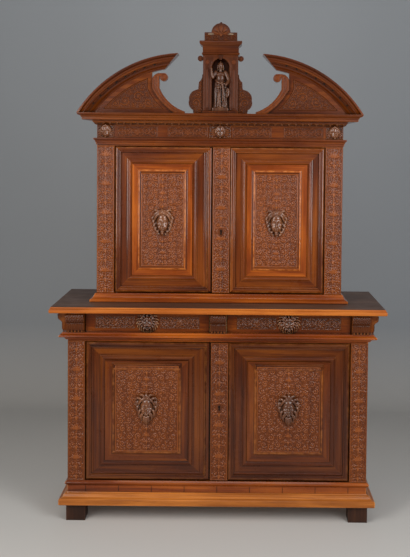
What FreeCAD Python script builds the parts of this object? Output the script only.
import FreeCAD, Part

import math
import os
import re
import sys

import Sketcher

# A carved walnut cupboard in two stages. The wide lower stage has two doors under two
# drawers, the narrower upper stage has two doors, and a broken pediment with a figure in
# a small niche stands on the cornice. X runs to the right, Y to the back and Z up, in
# millimetres, and the origin is on the floor under the middle of the lower stage.

# Driving sizes, in millimetres
SIZES = {
    # lower stage
    "table_width": 1580,
    "table_depth": 580,
    "table_thickness": 30,
    "table_edge_out": 16,
    "table_front_overhang": 75,
    "table_side_overhang": 78,
    "foot_height": 82,
    "foot_side": 90,
    "foot_proud": 6,
    "base_mould_height": 55,
    "base_mould_out": 38,
    "base_frieze_height": 56,
    "base_cap_out": 9,
    "lower_bay_height": 669,
    "waist_height": 44,
    "waist_out": 36,
    "drawer_bay_height": 98,
    "lower_stile_width": 82,
    # upper stage
    "upper_width": 1184,
    "upper_set_back": 111,
    "upper_plinth_height": 42,
    "upper_plinth_out": 30,
    "upper_bay_height": 712,
    "architrave_height": 37,
    "architrave_out": 16,
    "frieze_height": 65,
    "frieze_board": 24,
    "cornice_height": 54,
    "cornice_out": 86,
    "upper_stile_width": 84,
    # carcass boards
    "stile_depth": 60,
    "rail_depth": 34,
    "post_width": 60,
    "side_rail_height": 80,
    "side_rail_thickness": 28,
    "side_recess": 6,
    "side_panel_thickness": 14,
    "side_panel_recess": 6,
    "board_thickness": 18,
    "back_board_thickness": 12,
    "back_board_inset": 8,
    "shelf_clearance": 2,
    "shelf_setback": 65,
    "cleat_height": 22,
    "drawer_side_board": 22,
    "mitre_reach": 120,
    # doors
    "door_thickness": 32,
    "door_recess": 3,
    "door_gap": 3.5,
    "door_bevel": 3,
    "closing_gap": 3,
    "lip_width": 13,
    "lip_thickness": 17,
    "pilaster_width": 84,
    "door_drop": 10,
    "second_rise": 7,
    "tablet_rise": 5,
    "field_drop": 10,
    "panel_back_recess": 6,
    "lower_door_mould": 36,
    "lower_door_strip": 30,
    "lower_door_second": 25,
    "lower_door_field": 32,
    "lower_door_bead": 24,
    "upper_door_mould": 29,
    "upper_door_strip": 28,
    "upper_door_second": 25,
    "upper_door_field": 27,
    "upper_door_bead": 22,
    # door ironwork
    "pin_radius": 4,
    "pin_clearance": 0.05,
    "pin_inset": 8,
    "pin_setback": 8,
    "pin_reach": 12,
    "pin_end_clearance": 1,
    "pin_socket": 30,
    "keyhole_radius": 4.5,
    "keyhole_slot_width": 4,
    "keyhole_slot_drop": 15,
    "lower_keyhole_height": 354,
    "upper_keyhole_height": 300,
    "lock_width": 68,
    "lock_height": 100,
    "lock_depth": 18,
    "lock_bolt_length": 48,
    "lock_bolt_height": 15,
    "lock_bolt_depth": 8,
    "bolt_clearance": 0.3,
    "slide_bolt_width": 12,
    "slide_bolt_depth": 6,
    "slide_bolt_length": 150,
    "slide_bolt_stand_off": 3,
    "slide_bolt_gap": 10,
    "slide_bolt_inset": 14,
    "bolt_knob_radius": 5,
    "bolt_knob_length": 14,
    "staple_wall": 5,
    "staple_height": 14,
    # drawers
    "drawer_gap": 3,
    "drawer_side_gap": 1,
    "drawer_seat_clearance": 0.4,
    "drawer_front_recess": 2,
    "drawer_front_thickness": 25,
    "drawer_overlay": 6,
    "drawer_wall": 12,
    "drawer_bottom": 8,
    "drawer_bottom_rise": 6,
    "drawer_rear_clearance": 18,
    "drawer_side_drop": 10,
    "guide_height": 20,
    "divider_width": 24,
    "divider_post_width": 80,
    "divider_post_depth": 30,
    # consoles under the table
    "console_out": 45,
    "front_console_width": 84,
    "centre_console_width": 76,
    "console_overlap": 4,
    # carved heads
    "lower_mask_width": 103,
    "lower_mask_height": 157,
    "lower_mask_depth": 40,
    "lower_mask_raise": 10,
    "upper_mask_width": 100,
    "upper_mask_height": 132,
    "upper_mask_depth": 36,
    "upper_mask_raise": -14,
    "lion_width": 112,
    "lion_height": 90,
    "lion_depth": 30,
    "cherub_width": 64,
    "cherub_height": 58,
    "cherub_depth": 26,
    "cherub_wing_span": 104,
    # pediment
    "arch_rise": 282,
    "arch_radius": 606,
    "arch_crown": 36,
    "arch_bed": 25,
    "arch_bed_out": 30,
    "arch_bed_end_back": 70,
    "tympanum_proud": 7,
    "tympanum_thickness": 30,
    "tympanum_sink": 6,
    "tympanum_border": 20,
    "scroll_neck_height": 120,
    "scroll_foot_lip": 10,
    "scroll_hook": 14,
    "scroll_proud": 13,
    "volute_radius": 19,
    "volute_height": 173,
    # niche and figure
    "niche_width": 168,
    "niche_depth": 110,
    "niche_front_out": 26,
    "niche_base_height": 12,
    "niche_ledge": 34,
    "niche_height": 268,
    "niche_opening": 84,
    "niche_crown_below": 16,
    "niche_wall": 20,
    "niche_cornice_height": 66,
    "niche_cornice_out": 17,
    "niche_cornice_run": 40,
    "crest_height": 41,
    "crest_width": 156,
    "crest_depth": 70,
    "dome_radius": 46,
    "dome_thickness": 34,
    "finial_radius": 5,
    "niche_scroll_out": 66,
    "niche_scroll_height": 190,
    "niche_scroll_thickness": 26,
    "niche_scroll_setback": 12,
    "ear_radius": 13,
    "ear_drop": 16,
    "figure_base_width": 78,
    "figure_base_height": 16,
    "figure_base_depth": 62,
    "figure_height": 222,
    "figure_width": 104,
    "figure_forward": 4,
}

# Places across the pediment, as shares of half the upper stage's width
ARCH_GAP_SHARE = 0.338
SCROLL_FOOT_SHARES = (0.368, 0.287)
SCROLL_NECK_SHARES = (0.554, 0.493)
VOLUTE_SHARE = 0.458

# Places that follow from the sizes, in the order that they are worked out
PLACES = {
    "back_y": "table_depth / 2",
    "table_half": "table_width / 2",
    "lower_front": "table_front_overhang - back_y",
    "lower_half": "table_half - table_side_overhang",
    "base_top": "foot_height + base_mould_height",
    "lower_floor": "base_top + base_frieze_height",
    "lower_ceiling": "lower_floor + lower_bay_height",
    "waist_top": "lower_ceiling + waist_height",
    "table_low": "waist_top + drawer_bay_height",
    "table_high": "table_low + table_thickness",
    "upper_front": "lower_front + upper_set_back",
    "upper_half": "upper_width / 2",
    "upper_floor": "table_high + upper_plinth_height",
    "upper_ceiling": "upper_floor + upper_bay_height",
    "frieze_low": "upper_ceiling + architrave_height",
    "frieze_high": "frieze_low + frieze_height",
    "cornice_top": "frieze_high + cornice_height",
    "lower_opening": "lower_half - lower_stile_width",
    "upper_opening": "upper_half - upper_stile_width",
    "post_front": "back_y - post_width",
    "back_board_front": "back_y - back_board_inset - back_board_thickness",
    "meeting_half": "(pilaster_width + closing_gap + lip_width) / 2",
    "lower_frame_width": "lower_door_mould + lower_door_strip + lower_door_second",
    "upper_frame_width": "upper_door_mould + upper_door_strip + upper_door_second",
    "lower_door_outer": "lower_opening - door_gap",
    "upper_door_outer": "upper_opening - door_gap",
    "lower_crest": "lower_front + door_recess",
    "upper_crest": "upper_front + door_recess",
    "lower_door_back": "lower_crest + door_thickness",
    "upper_door_back": "upper_crest + door_thickness",
    "lower_door_low": "lower_floor + door_gap",
    "lower_door_high": "lower_ceiling - door_gap",
    "upper_door_low": "upper_floor + door_gap",
    "upper_door_high": "upper_ceiling - door_gap",
    "lower_keyhole": "lower_floor + lower_keyhole_height",
    "upper_keyhole": "upper_floor + upper_keyhole_height",
    "pilaster_left": "meeting_half - pilaster_width",
    "keyhole_x": "meeting_half - pilaster_width / 2",
    "arch_spring": "upper_half + cornice_out",
    "arch_gap_half": f"{ARCH_GAP_SHARE} * upper_half",
    "arch_half_chord": "sqrt((arch_spring - arch_gap_half)^2 + arch_rise^2) / 2",
    "arch_lift": "sqrt(arch_radius^2 - arch_half_chord^2)",
    "arch_x": "(arch_spring + arch_gap_half) / 2 - arch_lift * arch_rise / 2 / arch_half_chord",
    "arch_z": "cornice_top + arch_rise / 2"
    " - arch_lift * (arch_spring - arch_gap_half) / 2 / arch_half_chord",
    "tympanum_radius": "arch_radius - arch_crown - arch_bed",
    "tympanum_front": "upper_front - tympanum_proud",
    "tympanum_back": "tympanum_front + tympanum_thickness",
    "scroll_foot_inner": f"{SCROLL_FOOT_SHARES[0]} * upper_half",
    "scroll_foot_outer": f"{SCROLL_FOOT_SHARES[1]} * upper_half",
    "scroll_neck_inner": f"{SCROLL_NECK_SHARES[0]} * upper_half",
    "scroll_neck_outer": f"{SCROLL_NECK_SHARES[1]} * upper_half",
    "volute_centre": f"{VOLUTE_SHARE} * upper_half",
    "hook_top": "cornice_top + volute_height + volute_radius",
    "niche_half": "niche_width / 2",
    "niche_front": "upper_front - niche_front_out",
    "niche_back": "niche_front + niche_depth",
    "niche_floor": "cornice_top + niche_base_height",
    "niche_top": "niche_floor + niche_height",
    "niche_cornice_top": "niche_top + niche_cornice_height",
    "crest_top": "niche_cornice_top + crest_height",
}

# Outlines of the mouldings from bottom to top. Each row is the share of the projection,
# the share of the height and the bend of the line that leaves the point: the radius of
# its arc as a share of its chord, positive where it turns left, or zero where straight.
BASE_MOULD_SHARES = [(0.92, 0, 0), (1, 0.06, 0), (1, 0.48, 0), (0.88, 0.56, -0.8),
                     (0.45, 0.78, 0.8), (0.14, 0.95, 0), (0.1, 1, 0)]
BASE_FRIEZE_SHARES = [(0, 0, 0), (0, 0.56, 0), (0.6, 0.62, 0), (1, 0.7, 0.6),
                      (1, 0.9, 0), (0.4, 1, 0)]
WAIST_SHARES = [(0, 0, 0), (0, 0.15, 0), (0.2, 0.18, 0), (0.3, 0.27, -0.75),
                (0.92, 0.5, 0), (1, 0.54, 0.6), (0.94, 0.76, 0), (0.72, 0.86, 0), (0.62, 1, 0)]
TABLE_EDGE_SHARES = [(0.6, 0, 0.8), (1, 0.2, 0), (1, 0.48, 0), (0.9, 0.6, 0), (0.62, 0.7, 0.8),
                     (0.4, 1, 0)]
UPPER_PLINTH_SHARES = [(0.95, 0, 0), (1, 0.06, 0), (1, 0.3, 0), (0.84, 0.36, -0.8),
                       (0.4, 0.72, 0), (0.3, 0.78, 0.8), (0.1, 1, 0)]
ARCHITRAVE_SHARES = [(0, 0, 0), (0, 0.12, 0), (0.3, 0.16, 0), (0.3, 0.4, 0), (0.5, 0.46, -0.8),
                     (0.92, 0.76, 0), (1, 0.8, 0), (1, 1, 0)]
CORNICE_SHARES = [(0, 0, 0), (0.06, 0.02, 0), (0.09, 0.12, 0.75), (0.24, 0.34, 0),
                  (0.72, 0.38, 0), (0.75, 0.42, 0), (0.75, 0.58, 0), (0.79, 0.62, -0.8),
                  (0.88, 0.78, 0.8), (0.98, 0.93, 0), (1, 0.94, 0), (1, 1, 0)]
NICHE_CORNICE_SHARES = [(0.1, 0, 0), (0.35, 0.05, 0), (0.35, 0.14, 0), (0.12, 0.18, 0),
                        (0.12, 0.48, -0.75), (0.62, 0.72, 0), (0.72, 0.76, 0.8), (1, 0.94, 0),
                        (1, 1, 0)]

# Mouldings of a door from its outer edge inwards: share of the moulding's width, share of
# its rise above the flat, and the bend
FRAME_MOULD_SHARES = [(0.34, 1, 0), (0.4, 0.82, -0.8), (0.7, 0.45, 0.8), (1, 0, 0)]
SECOND_MOULD_SHARES = [(0, 0.5, 0), (0.15, 0.6, 0.62), (0.6, 1, 0), (0.75, 1, 0), (1, 0.3, 0)]
TABLET_BEAD_SHARES = [(0.12, 0.3, 0.6), (0.5, 0.3, 0), (0.6, -0.1, -0.9)]

# Bracket under the table, seen from its side: share of the projection, share of the height
CONSOLE_SHARES = [(0.42, 0, 0), (0.42, 0.1, 0), (0.6, 0.12, 0), (0.6, 0.42, -0.9),
                  (0.72, 0.5, 0.62), (0.9, 0.92, 0), (0.9, 1, 0)]

# Balls that make up each carved head: place across and radius as shares of the head's
# width, place up as a share of its height, and place out as a share of its depth
MASK_BALL_SHARES = [
    (0, 0.12, 0.05, 0.31), (0, 0.31, -0.15, 0.27), (0, -0.12, 0.12, 0.24), (0, -0.33, 0.2, 0.18),
    (0, -0.04, 0.75, 0.08), (-0.36, 0.3, 0, 0.13), (0.36, 0.3, 0, 0.13),
    (-0.3, -0.12, 0, 0.12), (0.3, -0.12, 0, 0.12),
]
LION_BALL_SHARES = [
    (0, 0.04, 0, 0.27), (0, -0.14, 0.5, 0.13), (0, -0.32, 0.35, 0.09),
    (-0.27, 0.34, 0.1, 0.09), (0.27, 0.34, 0.1, 0.09),
]
CHERUB_BALL_SHARES = [(0, -0.04, 0, 0.37), (0, 0.2, 0, 0.28), (0, -0.08, 0.75, 0.08)]

# Oval of a lion's mane, as shares of its width and height, with the bends of the lines
MANE_SHARES = [(-0.24, -0.5, 0), (0.24, -0.5, 0.72), (0.49, -0.18, 0), (0.49, 0.18, 0.72),
               (0.24, 0.5, 0), (-0.24, 0.5, 0.72), (-0.49, 0.18, 0), (-0.49, -0.18, 0.72)]
MANE_DEPTH_SHARE = 0.35
WING_HEIGHT_SHARE = 0.5
WING_DEPTH_SHARE = 0.35

# Small figure: heights up it as shares of its height, and radii and reaches as shares of
# its width. The robe is given by its height and two radii, and each ball by height and radius
ROBE_SHARES = (0.66, 0.27, 0.15)
FIGURE_BALL_SHARES = [(0.7, 0.21), (0.885, 0.12), (0.955, 0.095)]
NECK_RADIUS_SHARE = 0.065
ARM_HEIGHT_SHARE = 0.74
ARM_REACH_SHARE = 0.42
ARM_RADIUS_SHARE = 0.065
ARM_FORWARD_SHARE = 0.14
FOREARM_SHARE = 0.15
SHIELD_HEIGHT_SHARE = 0.4
SHIELD_PLACE_SHARE = 0.3
SHIELD_RADIUS_SHARE = 0.19
SHIELD_THICKNESS_SHARE = 0.07

# Outer edge of a scroll beside the niche, from its foot up, in the form of the bracket's
NICHE_SCROLL_SHARES = [(0.68, 0, 0), (0.72, 0.1, 0.75), (1, 0.34, 0.72), (0.5, 0.6, 0),
                       (0.34, 0.62, 0), (0.3, 0.8, -1), (0.06, 0.98, 0)]

# Section of the arch's crown and of the bed below it, in the form of the other mouldings
ARCH_CROWN_SHARES = [(0.5, 0, 0), (0.56, 0.1, -0.8), (0.74, 0.4, 0.8), (0.94, 0.72, 0),
                     (1, 0.76, 0), (1, 1, 0)]
ARCH_BED_SHARES = [(0.2, 0, 0), (0.3, 0.2, 0.8), (1, 1, 0)]

# Bends of the pediment scroll's outer and inner edge
SCROLL_OUTER_SHARE = -1.22
SCROLL_INNER_SHARE = 2
# The carved field's corner by the scroll keeps back by this many borders
FIELD_CORNER_SHARE = 2.6
# Bend of a quarter round
QUARTER_SHARE = math.sqrt(0.5)
EAR_WAIST_SHARE = 0.6
FINIAL_SEAT_SHARE = 0.6
# The knob of a slide bolt sits this share of the bolt's length above its lower end
KNOB_PLACE_SHARE = 0.1
STAPLE_PLACE_SHARES = (0.3, 0.82)
SHELF_HEIGHT_SHARE = 0.5

PLAN = FreeCAD.Rotation()
FRONT = FreeCAD.Rotation(FreeCAD.Vector(1, 0, 0), 90)
FORWARD = FreeCAD.Rotation(FreeCAD.Vector(1, -1, -1), 120)
OUTWARD = FreeCAD.Rotation(FreeCAD.Vector(0, 1, 1), 180)
ACROSS = FreeCAD.Rotation(FreeCAD.Vector(0, 1, 0), 90)

doc = FreeCAD.newDocument("carved_cupboard")
nodes = {}


# Sheets and formulas

def add_sheet(name, cells, as_formula):
    sheet = doc.addObject("Spreadsheet::Sheet", name)
    for row, (alias, value) in enumerate(cells.items(), 1):
        sheet.set(f"A{row}", alias)
        sheet.set(f"B{row}", "=" + full(value) if as_formula else str(value))
        sheet.setAlias(f"B{row}", alias)
    doc.recompute()
    return sheet


def full(formula):
    """The formula with each size or place named with its sheet."""
    def with_sheet(word):
        name = word.group()
        if name in SIZES:
            return "Sizes." + name
        return "Places." + name if name in PLACES else name
    return re.sub(r"[a-z_][a-z_0-9]*", with_sheet, str(formula))


def bind(thing, prop, formula):
    thing.setExpression(prop, full(formula))


def amount(formula):
    """What a formula of sizes and places comes to now."""
    return float(sizes.evalExpression(full(formula)))


sizes = add_sheet("Sizes", SIZES, False)
places = add_sheet("Places", PLACES, True)


# Sketches and features

def place(thing, x=0, y=0, z=0, turn=PLAN):
    thing.Placement = FreeCAD.Placement(FreeCAD.Vector(amount(x), amount(y), amount(z)), turn)
    for axis, formula in zip("xyz", (x, y, z)):
        bind(thing, f"Placement.Base.{axis}", formula)


def draw(sketch, corners, closed=True):
    """Lines and arcs through the corners, each held by its distances from the origin.

    A corner's third value bends the line that leaves it: a number is the arc's radius as
    a share of its chord, below zero where it turns right, and text is the radius itself.
    """
    spots = [FreeCAD.Vector(amount(c[0]), amount(c[1]), 0) for c in corners]
    count = len(corners) if closed else len(corners) - 1
    ends, holds, radii = [], [], []
    for i in range(count):
        a, b = spots[i], spots[(i + 1) % len(spots)]
        bend = corners[i][2] if len(corners[i]) > 2 else 0
        if not bend:
            sketch.addGeometry(Part.LineSegment(a, b), False)
            ends.append((1, 2))
            continue
        p, q = corners[i], corners[(i + 1) % len(corners)]
        span = f"sqrt((({q[0]}) - ({p[0]}))^2 + (({q[1]}) - ({p[1]}))^2)"
        formula = bend if isinstance(bend, str) else f"{abs(bend)} * {span}"
        turn = 1 if isinstance(bend, str) else bend
        chord = b.sub(a)
        radius = amount(formula)
        rise = math.sqrt(max(radius ** 2 - (chord.Length / 2) ** 2, 0))
        left = FreeCAD.Vector(-chord.y, chord.x, 0).normalize()
        middle = (a + b) / 2 + left * math.copysign(rise, turn)
        first, last = (a, b) if turn > 0 else (b, a)
        angles = [math.atan2(p.y - middle.y, p.x - middle.x) for p in (first, last)]
        circle = Part.Circle(middle, FreeCAD.Vector(0, 0, 1), radius)
        sketch.addGeometry(Part.ArcOfCircle(circle, *angles), False)
        ends.append((1, 2) if turn > 0 else (2, 1))
        radii.append((i, radius, formula))
    for i in range(count if closed else count - 1):
        after = (i + 1) % count
        holds.append(Sketcher.Constraint("Coincident", i, ends[i][1], after, ends[after][0]))
    joined = len(holds)
    held = [(i, ends[i][0]) for i in range(count)]
    if not closed:
        held.append((count - 1, ends[-1][1]))
    for (edge, end), spot in zip(held, spots):
        holds.append(Sketcher.Constraint("DistanceX", -1, 1, edge, end, spot.x))
        holds.append(Sketcher.Constraint("DistanceY", -1, 1, edge, end, spot.y))
    for edge, radius, _ in radii:
        holds.append(Sketcher.Constraint("Radius", edge, radius))
    sketch.addConstraint(holds)
    for i, corner in enumerate(corners):
        bind(sketch, f"Constraints[{joined + 2 * i}]", corner[0])
        bind(sketch, f"Constraints[{joined + 2 * i + 1}]", corner[1])
    for i, (_, _, formula) in enumerate(radii):
        bind(sketch, f"Constraints[{joined + 2 * len(corners) + i}]", formula)


def free_sketch(name, corners, turn, x=0, y=0, z=0, closed=True):
    sketch = doc.addObject("Sketcher::SketchObject", name)
    place(sketch, x, y, z, turn)
    draw(sketch, corners, closed)
    return sketch


def body_sketch(body, name, role, corners, offset):
    """A sketch on one of the body's own origin planes, moved along its normal."""
    sketch = body.newObject("Sketcher::SketchObject", name)
    plane = next(f for f in body.Origin.OriginFeatures if f.Role == role)
    sketch.AttachmentSupport = [(plane, "")]
    sketch.MapMode = "FlatFace"
    bind(sketch, "AttachmentOffset.Base.z", offset)
    doc.recompute()
    draw(sketch, corners)
    return sketch


def padded(name, role, corners, offset, length):
    """A body padded along the plane's normal: forwards on XZ_Plane, rightwards on YZ_Plane."""
    body = doc.addObject("PartDesign::Body", name)
    pad = body.newObject("PartDesign::Pad", name + "_pad")
    pad.Profile = body_sketch(body, name + "_outline", role, corners, offset)
    bind(pad, "Length", length)
    doc.recompute()
    return body


def pocketed(body, name, role, corners, offset, depth):
    """Cuts from the sketch against the plane's normal: backwards on XZ_Plane."""
    before = body.Shape.Volume
    pocket = body.newObject("PartDesign::Pocket", name)
    pocket.Profile = body_sketch(body, name + "_outline", role, corners, offset)
    bind(pocket, "Length", depth)
    doc.recompute()
    if body.Shape.Volume >= before:
        sys.exit(f"{name} cuts nothing")
    return body


def board(name, x, y, z):
    """A squared board from its low and high place along each axis."""
    box = doc.addObject("Part::Box", name)
    place(box, x[0], y[0], z[0])
    for prop, (low, high) in zip(("Length", "Width", "Height"), (x, y, z)):
        bind(box, prop, f"({high}) - ({low})")
    return box


def rod(name, x, y, z, radius, length, turn=PLAN):
    cylinder = doc.addObject("Part::Cylinder", name)
    place(cylinder, x, y, z, turn)
    bind(cylinder, "Radius", radius)
    bind(cylinder, "Height", length)
    return cylinder


def two(kind, name, base, tool):
    result = doc.addObject(kind, name)
    result.Base, result.Tool = base, tool
    return result


def cut(name, base, tool):
    return two("Part::Cut", name, base, tool)


def common(name, base, tool):
    return two("Part::Common", name, base, tool)


def fused(name, shapes):
    result = doc.addObject("Part::MultiFuse", name)
    result.Shapes = shapes
    return result


def grouped(name, things):
    group = doc.addObject("Part::Compound", name)
    group.Links = things
    return group


def mirrored(name, source):
    copy = doc.addObject("Part::Mirroring", name)
    copy.Source = source
    copy.Normal = FreeCAD.Vector(1, 0, 0)
    return copy


def extruded(name, sketch, length):
    solid = doc.addObject("Part::Extrusion", name)
    solid.Base = sketch
    solid.DirMode = "Normal"
    solid.Solid = True
    bind(solid, "LengthFwd", length)
    return solid


def swept(name, section, path, edges):
    sweep = doc.addObject("Part::Sweep", name)
    sweep.Sections = [section]
    sweep.Spine = (path, [f"Edge{i + 1}" for i in range(edges)])
    sweep.Solid = True
    sweep.Transition = "Right corner"
    return sweep


def node(name, *things):
    """One named sub-part: a single thing, or a group of separate solids."""
    thing = things[0] if len(things) == 1 else grouped(name, list(things))
    thing.Label = name
    nodes[name] = thing
    return thing


# Mitred mouldings round the front and sides of a stage

def front_wedge(stage):
    """A tall block in front of the two mitres, which divides front lengths from returns."""
    corners = [(f"-{stage}_half - mitre_reach", f"{stage}_front - mitre_reach"),
               (f"{stage}_half + mitre_reach", f"{stage}_front - mitre_reach"),
               (f"{stage}_half - mitre_reach", f"{stage}_front + mitre_reach"),
               (f"-{stage}_half + mitre_reach", f"{stage}_front + mitre_reach")]
    return extruded(f"{stage}_wedge", free_sketch(f"{stage}_wedge_outline", corners, PLAN),
                    "cornice_top + mitre_reach")


def run_path(stage):
    corners = [(f"-{stage}_half", "back_y"), (f"-{stage}_half", f"{stage}_front"),
               (f"{stage}_half", f"{stage}_front"), (f"{stage}_half", "back_y")]
    return free_sketch(f"{stage}_path", corners, PLAN, closed=False)


def moulding_corners(shares, out, inner, low, height):
    corners = [(f"-({inner})", low)]
    for across, up, bend in shares:
        corners.append((f"{across} * {out}", f"{low} + {up} * {height}", bend))
    corners.append((f"-({inner})", f"{low} + {height}"))
    return corners


def moulding(name, stage, shares, out, inner, low, height):
    section = free_sketch(f"{name}_section", moulding_corners(shares, out, inner, low, height),
                          OUTWARD, f"-{stage}_half", "back_y")
    return swept(f"{name}_run", section, paths[stage], 3)


def profile_corners(shares, origin, out, low, height):
    """A bracket's outline against the face that carries it, with its projection to -X."""
    corners = [(origin, low)]
    for across, up, bend in shares:
        corners.append((f"{origin} - {across} * {out}", f"{low} + {up} * {height}", -bend))
    corners.append((origin, f"{low} + {height}"))
    return corners


def slab_with_moulded_edge(name, shares, half, front, back, out, inner, low, height):
    """A slab whose front and sides are moulded. The mouldings start at half and front."""
    path = free_sketch(f"{name}_path", [(f"-({half})", back), (f"-({half})", front),
                                        (half, front), (half, back)], PLAN, closed=False)
    section = free_sketch(f"{name}_section", moulding_corners(shares, out, inner, low, height),
                          OUTWARD, f"-({half})", back)
    core = board(f"{name}_core", (f"{inner} - ({half})", f"{half} - ({inner})"),
                 (f"{front} + {inner}", back), (low, f"{low} + {height}"))
    return fused(f"{name}_whole", [swept(f"{name}_edge", section, path, 3), core])


def front_and_returns(name, run, stage, holes=None):
    """The run parted at its mitres into a front length and two side lengths."""
    front = common(f"{name}_front", run, wedges[stage])
    sides = cut(f"{name}_returns", run, wedges[stage])
    if holes:
        front = cut(f"{name}_front_bored", front, holes)
    return [front, sides]


def pin_holes(name, stage, low, reach):
    """Round holes for both doors' pivot pins."""
    left = rod(f"{name}_left", f"pin_inset - {stage}_door_outer", f"{stage}_crest + pin_setback",
               low, "pin_radius + pin_clearance", reach)
    return grouped(f"{name}_holes", [left, mirrored(f"{name}_right", left)])


# Carcass of either stage

def side_frame(stage, name, low, high, extra=()):
    """Back post, two rails and a panel behind the front stile, on the left."""
    out, face = f"-{stage}_half", f"side_recess - {stage}_half"
    behind_stile = f"{stage}_front + stile_depth"
    rail_x = (face, f"{face} + side_rail_thickness")
    inner, rabbet = f"{out} + post_width", f"{out} + rail_depth"
    post = padded(f"{name}_post", "XY_Plane",
                  [(out, "post_front"), (inner, "post_front"), (inner, "back_board_front"),
                   (rabbet, "back_board_front"), (rabbet, "back_y"), (out, "back_y")],
                  low, f"{high} - ({low})")
    foot_rail = board(f"{name}_foot_rail", rail_x, (behind_stile, "post_front"),
                      (low, f"{low} + side_rail_height"))
    head_rail = board(f"{name}_head_rail", rail_x, (behind_stile, "post_front"),
                      (f"{high} - side_rail_height", high))
    panel = board(f"{name}_panel",
                  (f"{face} + side_panel_recess",
                   f"{face} + side_panel_recess + side_panel_thickness"),
                  (behind_stile, "post_front"),
                  (f"{low} + side_rail_height", f"{high} - side_rail_height"))
    whole = grouped(f"{name}_parts", [post, foot_rail, head_rail, panel, *extra])
    node(name.replace("side", "side_left"), whole)
    node(name.replace("side", "side_right"), mirrored(f"{name}_other", whole))


def shelf(stage):
    """A shelf on two cleats that are fixed to the side panels."""
    inner = f"{stage}_half - side_recess - side_panel_recess - side_panel_thickness"
    level = f"{stage}_floor + {SHELF_HEIGHT_SHARE} * {stage}_bay_height"
    cleat_y = (f"{stage}_front + shelf_setback", "post_front - shelf_clearance")
    plank = board(f"{stage}_shelf_board",
                  (f"shelf_clearance - ({inner})", f"{inner} - shelf_clearance"), cleat_y,
                  (level, f"{level} + board_thickness"))
    cleat = board(f"{stage}_cleat", (f"-({inner})", f"cleat_height - ({inner})"), cleat_y,
                  (f"{level} - cleat_height", level))
    node(f"{stage}_shelf", plank, cleat, mirrored(f"{stage}_cleat_other", cleat))


def front_stiles(stage):
    stile = board(f"{stage}_stile", (f"-{stage}_half", f"-{stage}_opening"),
                  (f"{stage}_front", f"{stage}_front + stile_depth"),
                  (f"{stage}_floor", f"{stage}_ceiling"))
    node(f"{stage}_front_stiles", stile, mirrored(f"{stage}_stile_other", stile))


# Doors

def ring_path(name, stage, inset):
    """A rectangle in the door's face, begun at the middle of its left side."""
    left, right = f"({inset}) - {stage}_door_outer", f"-meeting_half - ({inset})"
    low, high = f"{stage}_door_low + {inset}", f"{stage}_door_high - ({inset})"
    middle = f"({stage}_door_low + {stage}_door_high) / 2"
    corners = [(left, middle), (left, high), (right, high), (right, low), (left, low)]
    return free_sketch(name, corners, FRONT, 0, f"{stage}_crest")


def ring(name, stage, corners, inset):
    section = free_sketch(f"{name}_section", corners, PLAN, f"({inset}) - {stage}_door_outer",
                          f"{stage}_crest", f"({stage}_door_low + {stage}_door_high) / 2")
    return swept(f"{name}_ring", section, ring_path(f"{name}_path", stage, inset), 5)


def mould_corners(shares, start, width, top, rise):
    """Points across a moulding by its share of the width and its share of the rise."""
    return [(f"{start} + {across} * {width}", f"{top} - {up} * {rise}", bend)
            for across, up, bend in shares]


def frame_corners(stage):
    """Section of the frame: crest, hollow, flat strip and second moulding, by depth."""
    mould, strip, second = (f"{stage}_door_{s}" for s in ("mould", "strip", "second"))
    start = f"{mould} + {strip}"
    return [("0", "door_thickness"), ("0", "door_bevel"), ("door_bevel", "0"),
            *mould_corners(FRAME_MOULD_SHARES, "0", mould, "door_drop", "door_drop"),
            (start, "door_drop"),
            *mould_corners(SECOND_MOULD_SHARES, start, second, "door_drop", "second_rise"),
            (f"{start} + {second}", "door_thickness")]


def tablet_corners(stage):
    """Section of the raised tablet's border: flat strip, bead and fall to the carving."""
    field, bead, top = f"{stage}_door_field", f"{stage}_door_bead", "door_drop - tablet_rise"
    back = "door_thickness - panel_back_recess"
    return [("0", back), ("0", top), (field, top),
            *mould_corners(TABLET_BEAD_SHARES, field, bead, top, "tablet_rise"),
            (f"{field} + {bead}", "field_drop"), (f"{field} + {bead}", back)]


def left_door_frame(stage):
    """Two stiles and two rails, mitred, with a lip on the closing stile and pin sockets."""
    name = f"{stage}_door"
    left, right = f"-{stage}_door_outer", "-meeting_half"
    low, high = f"{stage}_door_low", f"{stage}_door_high"
    width = f"{stage}_frame_width"
    sockets = []
    for end, start in (("foot", low), ("head", f"{high} - pin_socket")):
        sockets.append(rod(f"{name}_{end}_socket", f"{left} + pin_inset",
                           f"{stage}_crest + pin_setback", start, "pin_radius", "pin_socket"))
    whole = cut(f"{name}_frame_whole", ring(f"{name}_frame", stage, frame_corners(stage), "0"),
                grouped(f"{name}_sockets", sockets))
    wedge_sketches = []
    for side, edge, sign in (("hinge", left, "+"), ("closing", right, "-")):
        corners = [(edge, low), (f"{edge} {sign} {width}", f"{low} + {width}"),
                   (f"{edge} {sign} {width}", f"{high} - {width}"), (edge, high)]
        sketch = free_sketch(f"{name}_{side}_wedge", corners, FRONT, 0, f"{stage}_door_back")
        wedge_sketches.append(extruded(f"{name}_{side}_wedge_block", sketch, "door_thickness"))
    wedges_of_door = grouped(f"{name}_wedges", wedge_sketches)
    stiles = common(f"{name}_stiles", whole, wedges_of_door)
    rails = cut(f"{name}_rails", whole, wedges_of_door)
    return stiles, rails


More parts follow.
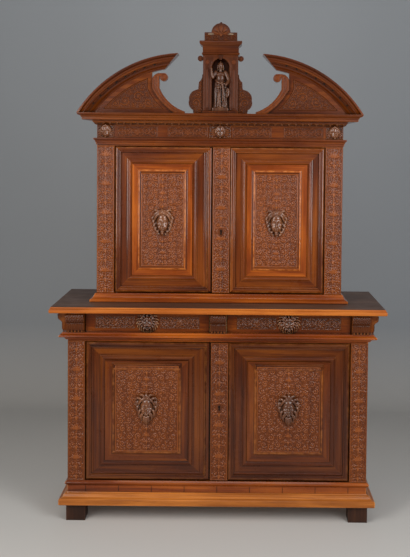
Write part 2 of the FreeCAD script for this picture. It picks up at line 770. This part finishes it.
def left_panel(stage):
    """A raised tablet with a beaded border round the sunk ground of the carving."""
    name = f"{stage}_panel"
    inset = f"{stage}_frame_width + {stage}_door_field + {stage}_door_bead"
    border = ring(name, stage, tablet_corners(stage), f"{stage}_frame_width")
    ground = board(f"{name}_ground", (f"{inset} - {stage}_door_outer", f"-meeting_half - ({inset})"),
                   (f"{stage}_crest + field_drop", f"{stage}_door_back - panel_back_recess"),
                   (f"{stage}_door_low + {inset}", f"{stage}_door_high - ({inset})"))
    return fused(f"{name}_whole", [border, ground])


def ball(name, x, y, z, radius):
    sphere = doc.addObject("Part::Sphere", name)
    place(sphere, x, y, z, FRONT)
    bind(sphere, "Radius", radius)
    return sphere


def carved_head(name, shares, size, x, face, z, *others):
    """Balls and other pieces fused into one head, cut off flat at the face that carries it."""
    width, height, depth = (f"{size}_{s}" for s in ("width", "height", "depth"))
    balls = [ball(f"{name}_ball_{i}", f"{x} + {across} * {width}", f"{face} - {out} * {depth}",
                  f"{z} + {up} * {height}", f"{radius} * {width}")
             for i, (across, up, out, radius) in enumerate(shares)]
    behind = board(f"{name}_behind", (f"{x} - {width}", f"{x} + {width}"),
                   (face, f"{face} + {width}"), (f"{z} - {height}", f"{z} + {height}"))
    return cut(f"{name}_head", fused(f"{name}_balls", [*balls, *others]), behind)


def pivot_pins(stage):
    pins = []
    x, y = f"pin_inset - {stage}_door_outer", f"{stage}_crest + pin_setback"
    length = "pin_socket + door_gap + pin_reach"
    for end, low in (("foot", f"{stage}_floor - pin_reach"),
                     ("head", f"{stage}_door_high - pin_socket")):
        pins.append(rod(f"{stage}_{end}_pin", x, y, low, "pin_radius", length))
    return pins


def lock_case(stage):
    """Lock case behind the right door's pilaster, open at its left for the bolt."""
    back, key = f"{stage}_door_back", f"{stage}_keyhole"
    left, right = "keyhole_x - lock_width / 2", "keyhole_x + lock_width / 2"
    bolt_y = (f"{back} + (lock_depth - lock_bolt_depth) / 2",
              f"{back} + (lock_depth + lock_bolt_depth) / 2")
    bolt_z = (f"{key} - lock_bolt_height / 2", f"{key} + lock_bolt_height / 2")
    block = board(f"{stage}_lock_block", (left, right), (back, f"{back} + lock_depth"),
                  (f"{key} - lock_height / 2", f"{key} + lock_height / 2"))
    slot = board(f"{stage}_lock_slot",
                 (f"{left} - bolt_clearance", f"{left} + lock_bolt_length + bolt_clearance"),
                 (f"{bolt_y[0]} - bolt_clearance", f"{bolt_y[1]} + bolt_clearance"),
                 (f"{bolt_z[0]} - bolt_clearance", f"{bolt_z[1]} + bolt_clearance"))
    node(f"{stage}_lock_bolt", board(f"{stage}_bolt", (left, f"{left} + lock_bolt_length"),
                                     bolt_y, bolt_z))
    return cut(f"{stage}_lock_hollow", block, slot)


def slide_bolt(stage):
    """Flat iron bolt on the left door's back, with a knob, and the staples that hold it."""
    x = ("-meeting_half - slide_bolt_inset - slide_bolt_width", "-meeting_half - slide_bolt_inset")
    front = f"{stage}_door_back + slide_bolt_stand_off"
    rear = f"{front} + slide_bolt_depth"
    top = f"{stage}_ceiling - slide_bolt_gap"
    low = f"{top} - slide_bolt_length"
    bar = board(f"{stage}_slide_bar", x, (front, rear), (low, top))
    knob = rod(f"{stage}_bolt_knob", f"{x[0]} + slide_bolt_width / 2",
               f"{rear} + bolt_knob_length", f"{low} + {KNOB_PLACE_SHARE} * slide_bolt_length",
               "bolt_knob_radius", "bolt_knob_length", FRONT)
    node(f"{stage}_slide_bolt", fused(f"{stage}_bolt_with_knob", [bar, knob]))
    staples = []
    for i, share in enumerate(STAPLE_PLACE_SHARES):
        z = (f"{low} + {share} * slide_bolt_length",
             f"{low} + {share} * slide_bolt_length + staple_height")
        block = board(f"{stage}_staple_block_{i}",
                      (f"{x[0]} - staple_wall", f"{x[1]} + staple_wall"),
                      (f"{stage}_door_back", f"{rear} + staple_wall"), z)
        gap = board(f"{stage}_staple_gap_{i}",
                    (f"{x[0]} - bolt_clearance", f"{x[1]} + bolt_clearance"),
                    (f"{front} - bolt_clearance", f"{rear} + bolt_clearance"), z)
        staples.append(cut(f"{stage}_staple_{i}", block, gap))
    return staples


def pilaster(stage):
    """The meeting post that is fixed to the right door, with its keyhole."""
    x = ("pilaster_left", "meeting_half")
    z = (f"{stage}_door_low", f"{stage}_door_high")
    thickness = "door_recess + door_thickness"
    body = padded(f"{stage}_pilaster", "XZ_Plane",
                  [(x[0], z[0]), (x[1], z[0]), (x[1], z[1]), (x[0], z[1])],
                  f"-{stage}_door_back", thickness)
    key, half = f"{stage}_keyhole", "keyhole_slot_width / 2"
    drop = f"sqrt(keyhole_radius^2 - ({half})^2)"
    outline = [(f"keyhole_x - {half}", f"{key} - keyhole_slot_drop"),
               (f"keyhole_x + {half}", f"{key} - keyhole_slot_drop"),
               (f"keyhole_x + {half}", f"{key} - {drop}", "keyhole_radius"),
               ("keyhole_x", f"{key} + keyhole_radius", "keyhole_radius"),
               (f"keyhole_x - {half}", f"{key} - {drop}")]
    return pocketed(body, f"{stage}_keyhole_cut", "XZ_Plane", outline, f"-{stage}_front",
                    thickness)


def doors(stage):
    stiles, rails = left_door_frame(stage)
    lip = board(f"{stage}_lip", ("-meeting_half", "lip_width - meeting_half"),
                (f"{stage}_door_back - lip_thickness", f"{stage}_door_back"),
                (f"{stage}_door_low", f"{stage}_door_high"))
    panel = left_panel(stage)
    middle_x = f"-({stage}_door_outer + meeting_half) / 2"
    middle_z = f"({stage}_door_low + {stage}_door_high) / 2 + {stage}_mask_raise"
    mask = carved_head(f"{stage}_mask", MASK_BALL_SHARES, f"{stage}_mask", middle_x,
                       f"{stage}_crest + field_drop", middle_z)
    pins = pivot_pins(stage)
    node(f"{stage}_door_left_frame", stiles, rails, lip)
    node(f"{stage}_door_left_panel", panel)
    node(f"{stage}_door_left_mask", mask)
    node(f"{stage}_door_left_irons", *pins, *slide_bolt(stage))
    node(f"{stage}_door_right_frame", mirrored(f"{stage}_right_stiles", stiles),
         mirrored(f"{stage}_right_rails", rails))
    node(f"{stage}_door_right_panel", mirrored(f"{stage}_right_panel_copy", panel))
    node(f"{stage}_door_right_mask", mirrored(f"{stage}_right_mask_copy", mask))
    node(f"{stage}_door_right_irons", *[mirrored(f"{stage}_right_{p.Name}", p) for p in pins],
         lock_case(stage))
    node(f"{stage}_door_right_pilaster", pilaster(stage))


wedges = {stage: front_wedge(stage) for stage in ("lower", "upper")}
paths = {stage: run_path(stage) for stage in ("lower", "upper")}


# Feet and base

def feet():
    out = "lower_half + foot_proud"
    front = "lower_front - foot_proud"
    near = board("front_foot", (f"-({out})", f"foot_side - ({out})"),
                 (front, f"{front} + foot_side"), ("0", "foot_height"))
    far = board("rear_foot", (f"-({out})", f"foot_side - ({out})"),
                ("back_y - foot_side", "back_y"), ("0", "foot_height"))
    node("feet", near, far, mirrored("front_foot_other", near), mirrored("rear_foot_other", far))


def base():
    run = moulding("base_moulding", "lower", BASE_MOULD_SHARES, "base_mould_out", "rail_depth",
                   "foot_height", "base_mould_height")
    node("base_moulding", *front_and_returns("base_moulding", run, "lower"))
    run = moulding("base_frieze", "lower", BASE_FRIEZE_SHARES, "base_cap_out", "rail_depth",
                   "base_top", "base_frieze_height")
    holes = pin_holes("base_frieze", "lower", "lower_floor - pin_reach - pin_end_clearance",
                      "pin_reach + pin_end_clearance")
    node("base_frieze", *front_and_returns("base_frieze", run, "lower", holes))
    inner = "lower_half - rail_depth"
    node("lower_bottom_board", board("lower_bottom", (f"-({inner})", inner),
                                     ("lower_front + rail_depth", "back_board_front"),
                                     ("lower_floor - board_thickness", "lower_floor")))


# Waist, drawers and table

def waist():
    run = moulding("waist_moulding", "lower", WAIST_SHARES, "waist_out", "rail_depth",
                   "lower_ceiling", "waist_height")
    holes = pin_holes("waist", "lower", "lower_ceiling", "pin_reach + pin_end_clearance")
    node("waist_moulding", *front_and_returns("waist_moulding", run, "lower", holes))


def drawer_deck():
    """The board under the drawers, the guides beside them and the divider between them."""
    inner = "lower_half - rail_depth"
    deck = board("drawer_deck_board", (f"-({inner})", inner),
                 ("lower_front + rail_depth", "back_board_front"),
                 ("waist_top - board_thickness", "waist_top"))
    y = ("lower_front + stile_depth", "post_front")
    z = ("waist_top", "waist_top + guide_height")
    drawer_out = "lower_opening - drawer_gap - drawer_overlay"
    drawer_in = "divider_post_width / 2 + drawer_gap + drawer_overlay"
    outer = board("outer_guide", ("drawer_side_board - lower_half",
                                  f"-({drawer_out}) - drawer_side_gap"), y, z)
    middle = board("middle_guide", (f"drawer_side_gap - ({drawer_in})", "-divider_width / 2"),
                   y, z)
    post_half = "divider_post_width / 2"
    post = board("divider_post", (f"-{post_half}", post_half),
                 ("lower_front", "lower_front + divider_post_depth"), ("waist_top", "table_low"))
    wall = board("divider_wall", ("-divider_width / 2", "divider_width / 2"),
                 ("lower_front + divider_post_depth", "back_board_front"),
                 ("waist_top", "table_low"))
    node("drawer_deck", deck, outer, middle, mirrored("outer_guide_other", outer),
         mirrored("middle_guide_other", middle), post, wall)


def drawer():
    """The left drawer's front, box and lion head. The right one is its mirror image."""
    x = ("drawer_gap - lower_opening", "-divider_post_width / 2 - drawer_gap")
    face = "lower_front + drawer_front_recess"
    inner = f"{face} + drawer_front_thickness"
    seat = "waist_top + drawer_seat_clearance"
    rear = "(back_board_front - drawer_rear_clearance)"
    front = board("drawer_front_board", x, (face, inner), (seat, "table_low - drawer_gap"))
    side_x = (f"{x[0]} + drawer_overlay", f"{x[1]} - drawer_overlay")
    within = (f"{side_x[0]} + drawer_wall", f"{side_x[1]} - drawer_wall")
    z = (seat, "table_low - drawer_side_drop")
    box = [board("drawer_side_near", (side_x[0], within[0]), (inner, rear), z),
           board("drawer_side_far", (within[1], side_x[1]), (inner, rear), z),
           board("drawer_back", within, (f"{rear} - drawer_wall", rear), z),
           board("drawer_base", within, (inner, f"{rear} - drawer_wall"),
                 (f"{seat} + drawer_bottom_rise",
                  f"{seat} + drawer_bottom_rise + drawer_bottom"))]
    centre, level = f"({x[0]} + ({x[1]})) / 2", f"({seat} + table_low - drawer_gap) / 2"
    mane = padded("lion_mane", "XZ_Plane",
                  [(f"{centre} + {across} * lion_width", f"{level} + {up} * lion_height", bend)
                   for across, up, bend in MANE_SHARES],
                  f"-({face})", f"{MANE_DEPTH_SHARE} * lion_depth")
    lion = carved_head("lion", LION_BALL_SHARES, "lion", centre, face, level, mane)
    whole = grouped("drawer_box_boards", box)
    node("drawer_left_front", front)
    node("drawer_left_box", whole)
    node("drawer_left_lion", lion)
    node("drawer_right_front", mirrored("drawer_front_other", front))
    node("drawer_right_box", mirrored("drawer_box_other", whole))
    node("drawer_right_lion", mirrored("lion_other", lion))


def consoles():
    front, side = [profile_corners(CONSOLE_SHARES, face, "console_out", "waist_top",
                                   "drawer_bay_height") for face in ("lower_front", "-lower_half")]
    corner = padded("front_console", "YZ_Plane", front, "-lower_half - console_overlap",
                    "front_console_width")
    middle = padded("centre_console", "YZ_Plane", front, "-centre_console_width / 2",
                    "centre_console_width")
    beside = padded("side_console", "XZ_Plane", side,
                    "-lower_front - console_overlap - front_console_width",
                    "front_console_width")
    node("consoles", corner, mirrored("front_console_other", corner), middle, beside,
         mirrored("side_console_other", beside))


def table_top():
    node("table_top", slab_with_moulded_edge(
        "table", TABLE_EDGE_SHARES, "table_half - table_edge_out", "table_edge_out - back_y",
        "back_y", "table_edge_out", "rail_depth", "table_low", "table_thickness"))


# Lower stage

def lower_stage():
    feet()
    base()
    front_stiles("lower")
    behind = "lower_front + stile_depth"
    low, high = "waist_top", "table_low"
    corner_block = board("corner_block", ("-lower_half", "-lower_opening"),
                         ("lower_front", behind), (low, high))
    side_board = board("drawer_side_board_left", ("-lower_half", "drawer_side_board - lower_half"),
                       (behind, "back_y"), (low, high))
    back_post = board("drawer_back_post", ("drawer_side_board - lower_half",
                                           "post_width - lower_half"),
                      ("post_front", "back_board_front"), (low, high))
    side_frame("lower", "lower_side", "lower_floor", "lower_ceiling",
               [corner_block, side_board, back_post])
    node("lower_back_panel", board("lower_back", ("rail_depth - lower_half",
                                                  "lower_half - rail_depth"),
                                   ("back_board_front", "back_board_front + back_board_thickness"),
                                   ("lower_floor - board_thickness", "table_low")))
    shelf("lower")
    waist()
    drawer_deck()
    drawer()
    consoles()
    table_top()
    doors("lower")


# Upper stage

def upper_stage():
    run = moulding("upper_plinth", "upper", UPPER_PLINTH_SHARES, "upper_plinth_out",
                   "rail_depth", "table_high", "upper_plinth_height")
    holes = pin_holes("upper_plinth", "upper", "upper_floor - pin_reach - pin_end_clearance",
                      "pin_reach + pin_end_clearance")
    node("upper_plinth", *front_and_returns("upper_plinth", run, "upper", holes))
    front_stiles("upper")
    side_frame("upper", "upper_side", "upper_floor", "upper_ceiling")
    shelf("upper")
    node("upper_back_panel", board("upper_back", ("rail_depth - upper_half",
                                                  "upper_half - rail_depth"),
                                   ("back_board_front", "back_board_front + back_board_thickness"),
                                   ("table_high", "cornice_top")))
    run = moulding("architrave", "upper", ARCHITRAVE_SHARES, "architrave_out", "rail_depth",
                   "upper_ceiling", "architrave_height")
    holes = pin_holes("architrave", "upper", "upper_ceiling", "pin_reach + pin_end_clearance")
    node("architrave", *front_and_returns("architrave", run, "upper", holes))
    node("upper_boards", *[
        board(f"upper_board_{high}", ("rail_depth - upper_half", "upper_half - rail_depth"),
              ("upper_front + rail_depth", "back_board_front"),
              (f"{high} - board_thickness", high))
        for high in ("upper_floor", "frieze_low", "cornice_top")])
    z = ("frieze_low", "frieze_high")
    front = board("frieze_front", ("-upper_half", "upper_half"),
                  ("upper_front", "upper_front + frieze_board"), z)
    side = board("frieze_side", ("-upper_half", "frieze_board - upper_half"),
                 ("upper_front + frieze_board", "back_y"), z)
    node("frieze", front, side, mirrored("frieze_side_other", side))
    run = moulding("cornice", "upper", CORNICE_SHARES, "cornice_out", "rail_depth",
                   "frieze_high", "cornice_height")
    node("cornice", *front_and_returns("cornice", run, "upper"))
    doors("upper")


def cherub(name, x, span):
    """A child's head between two small wings, on the frieze."""
    z = "(frieze_low + frieze_high) / 2"
    wings = board(f"{name}_wings", (f"{x} - {span} / 2", f"{x} + {span} / 2"),
                  (f"upper_front - {WING_DEPTH_SHARE} * cherub_depth", "upper_front"),
                  (f"{z} - {WING_HEIGHT_SHARE} * cherub_height / 2",
                   f"{z} + {WING_HEIGHT_SHARE} * cherub_height / 2"))
    return carved_head(name, CHERUB_BALL_SHARES, "cherub", x, "upper_front", z, wings)


def cherub_heads():
    corner = cherub("corner_cherub", "upper_stile_width / 2 - upper_half", "upper_stile_width")
    node("cherub_heads", corner, cherub("middle_cherub", "0", "cherub_wing_span"),
         mirrored("corner_cherub_other", corner))


# Pediment

def arch_layer(name, shares, out, outer, thickness, end):
    """One curved layer of the left arch, turned about its centre and cut at both ends."""
    section = free_sketch(f"{name}_section",
                          moulding_corners(shares, out, "rail_depth",
                                           f"arch_z + {outer} - {thickness}", thickness),
                          FORWARD, "-arch_x", "upper_front")
    turned = doc.addObject("Part::Revolution", f"{name}_turned")
    turned.Source = section
    turned.Solid = True
    turned.Axis = FreeCAD.Vector(0, -1, 0)
    bind(turned, "Base.x", "-arch_x")
    bind(turned, "Base.z", "arch_z")
    window = board(f"{name}_window", ("-arch_spring - arch_crown", f"-({end})"),
                   (f"upper_front - {out} - arch_crown", "back_y"),
                   ("cornice_top", f"arch_z + {outer} + arch_crown"))
    return common(name, turned, window)


def arches():
    crown = arch_layer("arch_crown_layer", ARCH_CROWN_SHARES, "cornice_out", "arch_radius",
                       "arch_crown", "arch_gap_half")
    bed = arch_layer("arch_bed_layer", ARCH_BED_SHARES, "arch_bed_out",
                     "(arch_radius - arch_crown)", "arch_bed", "arch_gap_half + arch_bed_end_back")
    node("pediment_arches", crown, bed, mirrored("arch_crown_other", crown),
         mirrored("arch_bed_other", bed))


def tympanum_corners(gap):
    """Outline under the arch and beside the scroll, kept in all round by the gap."""
    radius, low = f"(tympanum_radius - {gap})", f"(cornice_top + {gap})"
    neck, foot = f"(scroll_neck_inner + {gap})", f"scroll_foot_inner + {FIELD_CORNER_SHARE} * {gap}"
    return [(f"-arch_x - sqrt({radius}^2 - ({low} - arch_z)^2)", low),
            (f"-({foot})", low, -SCROLL_INNER_SHARE),
            (f"-{neck}", "cornice_top + scroll_neck_height"),
            (f"-{neck}", f"arch_z + sqrt({radius}^2 - ({neck} - arch_x)^2)", radius)]


def tympanums():
    panel = padded("tympanum", "XZ_Plane", tympanum_corners("0"), "-tympanum_back",
                   "tympanum_thickness")
    pocketed(panel, "tympanum_field", "XZ_Plane", tympanum_corners("tympanum_border"),
             "-tympanum_front", "tympanum_sink")
    node("pediment_tympanums", panel, mirrored("tympanum_other", panel))


def pediment_scrolls():
    """A concave scroll from the cornice up to a small volute under the arch's end."""
    shoulder = "hook_top - (scroll_neck_inner - scroll_neck_outer)"
    outline = [("-scroll_foot_inner", "cornice_top"), ("-scroll_foot_outer", "cornice_top"),
               ("-scroll_foot_outer", "cornice_top + scroll_foot_lip", SCROLL_OUTER_SHARE),
               ("-scroll_neck_outer", "cornice_top + scroll_neck_height"),
               ("-scroll_neck_outer", "hook_top - scroll_hook"),
               ("-volute_centre", "hook_top - scroll_hook"), ("-volute_centre", "hook_top"),
               ("-scroll_neck_outer", "hook_top", QUARTER_SHARE),
               ("-scroll_neck_inner", shoulder),
               ("-scroll_neck_inner", "cornice_top + scroll_neck_height", SCROLL_INNER_SHARE)]
    depth = "tympanum_thickness + scroll_proud"
    band = padded("scroll_band", "XZ_Plane", outline, "-tympanum_back", depth)
    volute = rod("scroll_volute", "-volute_centre", "tympanum_back",
                 "cornice_top + volute_height", "volute_radius", depth, FRONT)
    whole = fused("scroll_whole", [band, volute])
    node("pediment_scrolls", whole, mirrored("scroll_other", whole))


# Niche and figure

def niche():
    half, inner = "niche_half", "niche_half - niche_wall"
    base = board("niche_base", (f"-{half}", half), ("niche_front - niche_ledge", "niche_back"),
                 ("cornice_top", "niche_floor"))
    opening, crown = "niche_opening / 2", "niche_top - niche_crown_below"
    spring = f"{crown} - {opening}"
    front = padded("niche_face", "XZ_Plane",
                   [(f"-{half}", "niche_floor"), (f"-{opening}", "niche_floor"),
                    (f"-{opening}", spring, -QUARTER_SHARE), ("0", crown, -QUARTER_SHARE),
                    (opening, spring), (opening, "niche_floor"), (half, "niche_floor"),
                    (half, "niche_top"), (f"-{half}", "niche_top")],
                   "-niche_front - niche_wall", "niche_wall")
    z = ("niche_floor", "niche_top")
    side = board("niche_side", (f"-{half}", f"-({inner})"),
                 ("niche_front + niche_wall", "niche_back"), z)
    back = board("niche_back_board", (f"-({inner})", inner),
                 ("niche_back - niche_wall", "niche_back"), z)
    node("niche_case", base, front, side, mirrored("niche_side_other", side), back)
    node("niche_cornice", slab_with_moulded_edge(
        "niche_cornice", NICHE_CORNICE_SHARES, half, "niche_front", "niche_back",
        "niche_cornice_out", "niche_cornice_run", "niche_top", "niche_cornice_height"))


def niche_crest():
    """Block above the niche's cornice, with a half-round shell and a finial."""
    block = board("crest_block", ("-crest_width / 2", "crest_width / 2"),
                  ("niche_front", "niche_front + crest_depth"), ("niche_cornice_top", "crest_top"))
    dome = padded("crest_dome", "XZ_Plane",
                  [("-dome_radius", "crest_top"), ("dome_radius", "crest_top", "dome_radius"),
                   ("0", "crest_top + dome_radius", "dome_radius")],
                  "-niche_front - (crest_depth + dome_thickness) / 2", "dome_thickness")
    finial = ball("finial", "0", "niche_front + crest_depth / 2",
                  f"crest_top + dome_radius + {FINIAL_SEAT_SHARE} * finial_radius",
                  "finial_radius")
    node("niche_crest", fused("crest_whole", [block, dome, finial]))


def niche_scrolls():
    """Leafy scrolls beside the niche, with small round ears above them."""
    back = "niche_front + niche_scroll_setback + niche_scroll_thickness"
    scroll = padded("niche_scroll", "XZ_Plane",
                    profile_corners(NICHE_SCROLL_SHARES, "-niche_half", "niche_scroll_out",
                                    "cornice_top", "niche_scroll_height"),
                    f"-({back})", "niche_scroll_thickness")
    centre, level = "-niche_half - ear_radius", "niche_top - ear_drop"
    disc = rod("niche_ear_disc", centre, back, level, "ear_radius", "niche_scroll_thickness", FRONT)
    neck = board("niche_ear_neck", (centre, "-niche_half"),
                 ("niche_front + niche_scroll_setback", back),
                 (f"{level} - {EAR_WAIST_SHARE} * ear_radius",
                  f"{level} + {EAR_WAIST_SHARE} * ear_radius"))
    ear = fused("niche_ear", [disc, neck])
    node("niche_scrolls", scroll, ear, mirrored("niche_scroll_other", scroll),
         mirrored("niche_ear_other", ear))


def figurine():
    """A robed figure with one arm raised and a shield, on a small square base."""
    front = "niche_front - niche_ledge"
    floor = "niche_floor + figure_base_height"
    y = "niche_front - figure_forward"
    base = board("figure_base", ("-figure_base_width / 2", "figure_base_width / 2"),
                 (front, f"{front} + figure_base_depth"), ("niche_floor", floor))
    robe = doc.addObject("Part::Cone", "figure_robe")
    place(robe, 0, y, floor)
    for prop, formula in (("Height", f"{ROBE_SHARES[0]} * figure_height"),
                          ("Radius1", f"{ROBE_SHARES[1]} * figure_width"),
                          ("Radius2", f"{ROBE_SHARES[2]} * figure_width")):
        bind(robe, prop, formula)
    balls = [ball(f"figure_ball_{i}", 0, y, f"{floor} + {up} * figure_height",
                  f"{radius} * figure_width")
             for i, (up, radius) in enumerate(FIGURE_BALL_SHARES)]
    chest, head = FIGURE_BALL_SHARES[0][0], FIGURE_BALL_SHARES[1][0]
    neck = rod("figure_neck", 0, y, f"{floor} + {chest} * figure_height",
               f"{NECK_RADIUS_SHARE} * figure_width", f"{head - chest} * figure_height")
    arm_y = f"{y} - {ARM_FORWARD_SHARE} * figure_width"
    arm_z = f"{floor} + {ARM_HEIGHT_SHARE} * figure_height"
    reach, thick = f"{ARM_REACH_SHARE} * figure_width", f"{ARM_RADIUS_SHARE} * figure_width"
    arms = rod("figure_arms", f"-{reach}", arm_y, arm_z, thick, f"2 * {reach}", ACROSS)
    forearm = rod("figure_forearm", f"-{reach}", arm_y, arm_z, thick,
                  f"{FOREARM_SHARE} * figure_height")
    elbow = ball("figure_elbow", f"-{reach}", arm_y, arm_z, thick)
    other_forearm = rod("figure_other_forearm", reach, arm_y,
                        f"{floor} + {SHIELD_HEIGHT_SHARE} * figure_height", thick,
                        f"{ARM_HEIGHT_SHARE - SHIELD_HEIGHT_SHARE} * figure_height")
    other_elbow = ball("figure_other_elbow", reach, arm_y, arm_z, thick)
    shield = rod("figure_shield", f"{SHIELD_PLACE_SHARE} * figure_width", arm_y,
                 f"{floor} + {SHIELD_HEIGHT_SHARE} * figure_height",
                 f"{SHIELD_RADIUS_SHARE} * figure_width",
                 f"{SHIELD_THICKNESS_SHARE} * figure_width", FRONT)
    node("figurine", fused("figure_whole", [base, robe, *balls, neck, arms, elbow,
                                            forearm, other_elbow, other_forearm, shield]))


lower_stage()
upper_stage()
cherub_heads()
arches()
tympanums()
pediment_scrolls()
niche()
niche_crest()
niche_scrolls()
figurine()
doc.recompute()

# Every object is computed, and every sub-part is a sound shape, before any is written
failed = [o.Name for o in doc.Objects if {"Invalid", "Error"} & set(o.State)]
failed += [name for name, thing in nodes.items()
           if thing.Shape.isNull() or not thing.Shape.isValid() or not thing.Shape.Solids]
if failed:
    sys.exit("Failed: " + ", ".join(failed))

os.makedirs("parts", exist_ok=True)
for name, thing in nodes.items():
    thing.Shape.exportStep(f"parts/{name}.step")
    print(f"{name}: {len(thing.Shape.Solids)} solids, {thing.Shape.Volume:.0f} mm3")
print(f"{len(nodes)} sub-parts")
